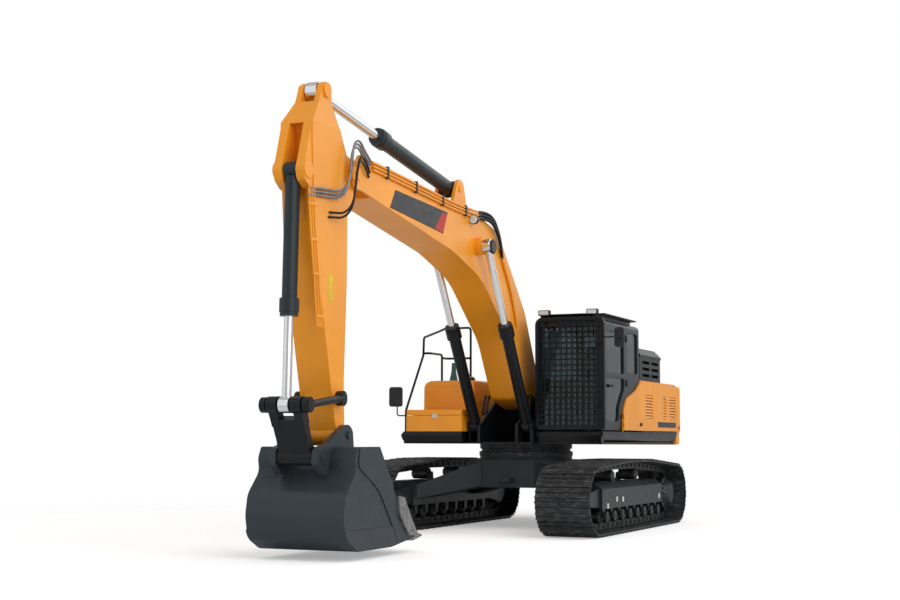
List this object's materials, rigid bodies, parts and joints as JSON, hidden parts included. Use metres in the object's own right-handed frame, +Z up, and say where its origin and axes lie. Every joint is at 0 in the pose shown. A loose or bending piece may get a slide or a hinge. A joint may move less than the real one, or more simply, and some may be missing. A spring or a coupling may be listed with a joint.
{
  "type": "crawler excavator",
  "caption": "Crawler excavator with slewing house, mesh-guarded cab, boom, arm and curling bucket on hydraulic cylinders, opening doors and covers, on two closed shoe tracks.",
  "frame": {"origin": "on the ground, under the middle of the whole machine", "axes": "+X forward towards the bucket, +Y to the operator's left (cab side), +Z up"},
  "size_m": [10.8569, 3.615, 5.26],
  "materials": {
    "body_paint": "satin",
    "slate_paint": "satin",
    "black_paint": "satin",
    "track_steel": "worn",
    "cast_steel": "rough",
    "chrome_rod": "polished",
    "bucket_paint": "worn",
    "tooth_steel": "worn",
    "cab_glass": "tinted",
    "seat_fabric": "woven",
    "console_plastic": "matte",
    "mirror_plastic": "matte",
    "rail_paint": "gloss",
    "precleaner_plastic": "gloss"
  },
  "bodies": {
    "undercarriage": {"carbody": "slate_paint", "slewing_ring": "cast_steel", "track_frame_left": "slate_paint", "track_frame_right": "slate_paint", "track_left": "track_steel", "track_right": "track_steel", "front_idlers": "cast_steel", "drive_sprockets": "cast_steel", "track_rollers": "cast_steel"},
    "house": {"revolving_frame": "black_paint", "counterweight": "body_paint", "engine_block": "cast_steel", "bay_frame": "body_paint", "exhaust_cowl": "black_paint", "fuel_tank": "body_paint", "hydraulic_tank": "body_paint", "tool_box": "body_paint", "swing_motor": "slate_paint", "control_valve": "cast_steel", "handrails": "rail_paint", "mirrors": "mirror_plastic", "air_precleaner": "precleaner_plastic", "cab_frame": "slate_paint", "cab_glass": "cab_glass", "operator_seat": "seat_fabric", "operator_controls": "console_plastic", "front_guard": "black_paint", "roof_guard": "black_paint"},
    "engine_hood": {"engine_hood": "body_paint"},
    "left_side_door": {"left_side_door": "body_paint"},
    "right_side_door": {"right_side_door": "body_paint"},
    "tool_box_lid": {"tool_box_lid": "body_paint"},
    "cab_door": {"cab_door": "slate_paint", "cab_door_glass": "cab_glass"},
    "boom": {"boom": "body_paint"},
    "boom_cylinder_barrels": {"boom_cylinder_barrels": "black_paint"},
    "boom_cylinder_rods": {"boom_cylinder_rods": "chrome_rod"},
    "arm_cylinder_barrel": {"arm_cylinder_barrel": "slate_paint"},
    "arm_cylinder_rod": {"arm_cylinder_rod": "chrome_rod"},
    "arm": {"arm": "body_paint"},
    "bucket_cylinder_barrel": {"bucket_cylinder_barrel": "slate_paint"},
    "bucket_cylinder_rod": {"bucket_cylinder_rod": "chrome_rod"},
    "bucket_rocker_arms": {"bucket_rocker_arms": "black_paint"},
    "bucket_h_link": {"bucket_h_link": "black_paint"},
    "bucket": {"bucket": "bucket_paint", "bucket_teeth": "tooth_steel"}
  },
  "joints": [
    {"name": "slew", "type": "hinge", "parent": "undercarriage", "child": "house", "pos_m": [-1.7885, 0, 1.233], "axis": [0, 0, 1], "continuous": true},
    {"name": "boom_raise", "type": "hinge", "parent": "house", "child": "boom", "pos_m": [-1.5885, 0, 1.89], "axis": [0, -1, 0], "range_deg": [-62, 41]},
    {"name": "boom_cylinder_swing", "type": "hinge", "parent": "house", "child": "boom_cylinder_barrels", "pos_m": [-0.7885, 0, 1.49], "axis": [0, -1, 0], "range_deg": [-67, 44.3]},
    {"name": "boom_cylinder_stroke", "type": "slide", "parent": "boom_cylinder_barrels", "child": "boom_cylinder_rods", "axis": [0.5297, 0, 0.8482], "range_m": [-0.76, 0.503]},
    {"name": "arm_swing", "type": "hinge", "parent": "boom", "child": "arm", "pos_m": [4.2665, 0, 4.29], "axis": [0, 1, 0], "range_deg": [-85, 30]},
    {"name": "arm_cylinder_swing", "type": "hinge", "parent": "boom", "child": "arm_cylinder_barrel", "pos_m": [1.0715, 0, 4.64], "axis": [0, 1, 0], "range_deg": [-5.8, 2.1]},
    {"name": "arm_cylinder_stroke", "type": "slide", "parent": "arm_cylinder_barrel", "child": "arm_cylinder_rod", "axis": [0.9906, 0, 0.1368], "range_m": [-1.304, 0.461]},
    {"name": "bucket_curl", "type": "hinge", "parent": "arm", "child": "bucket", "pos_m": [4.4915, 0, 1.34], "axis": [0, 1, 0], "range_deg": [-50, 80]},
    {"name": "rocker_swing", "type": "hinge", "parent": "arm", "child": "bucket_rocker_arms", "pos_m": [4.5965, 0, 1.74], "axis": [0, 1, 0], "range_deg": [-42.5, 67.9]},
    {"name": "h_link_swing", "type": "hinge", "parent": "bucket_rocker_arms", "child": "bucket_h_link", "pos_m": [5.3365, 0, 1.655], "axis": [0, 1, 0], "range_deg": [-41.8, 26.2]},
    {"name": "bucket_cylinder_swing", "type": "hinge", "parent": "arm", "child": "bucket_cylinder_barrel", "pos_m": [5.2615, 0, 4.19], "axis": [0, 1, 0], "range_deg": [-3.7, 5.9]},
    {"name": "bucket_cylinder_stroke", "type": "slide", "parent": "bucket_cylinder_barrel", "child": "bucket_cylinder_rod", "axis": [0.0296, 0, -0.9996], "range_m": [-0.473, 0.756]},
    {"name": "cab_door_hinge", "type": "hinge", "parent": "house", "child": "cab_door", "pos_m": [-2.0965, 1.488, 2.4], "axis": [0, 0, 1], "range_deg": [0, 150]},
    {"name": "left_side_door_hinge", "type": "hinge", "parent": "house", "child": "left_side_door", "pos_m": [-1.8545, 1.513, 1.54], "axis": [0, 0, 1], "range_deg": [-100, 0]},
    {"name": "right_side_door_hinge", "type": "hinge", "parent": "house", "child": "right_side_door", "pos_m": [-3.1285, -1.513, 1.75], "axis": [0, 0, 1], "range_deg": [0, 100]},
    {"name": "engine_hood_hinge", "type": "hinge", "parent": "house", "child": "engine_hood", "pos_m": [-3.1225, 0, 2.252], "axis": [0, 1, 0], "range_deg": [0, 60]},
    {"name": "tool_box_lid_hinge", "type": "hinge", "parent": "house", "child": "tool_box_lid", "pos_m": [-1.1705, -0.98, 1.718], "axis": [0, -1, 0], "range_deg": [0, 85]}
  ],
  "couplings": [
    {"joint": "boom_cylinder_swing", "follows": "boom_raise", "ratio": 1.0794},
    {"joint": "boom_cylinder_stroke", "follows": "boom_raise", "m_per_rad": 0.7009},
    {"joint": "arm_cylinder_swing", "follows": "arm_swing", "ratio": 0.067},
    {"joint": "arm_cylinder_stroke", "follows": "arm_swing", "m_per_rad": 0.8779},
    {"joint": "rocker_swing", "follows": "bucket_curl", "ratio": 0.8475},
    {"joint": "h_link_swing", "follows": "bucket_curl", "ratio": -0.5211},
    {"joint": "bucket_cylinder_swing", "follows": "bucket_curl", "ratio": 0.0725},
    {"joint": "bucket_cylinder_stroke", "follows": "bucket_curl", "m_per_rad": 0.5405}
  ]
}
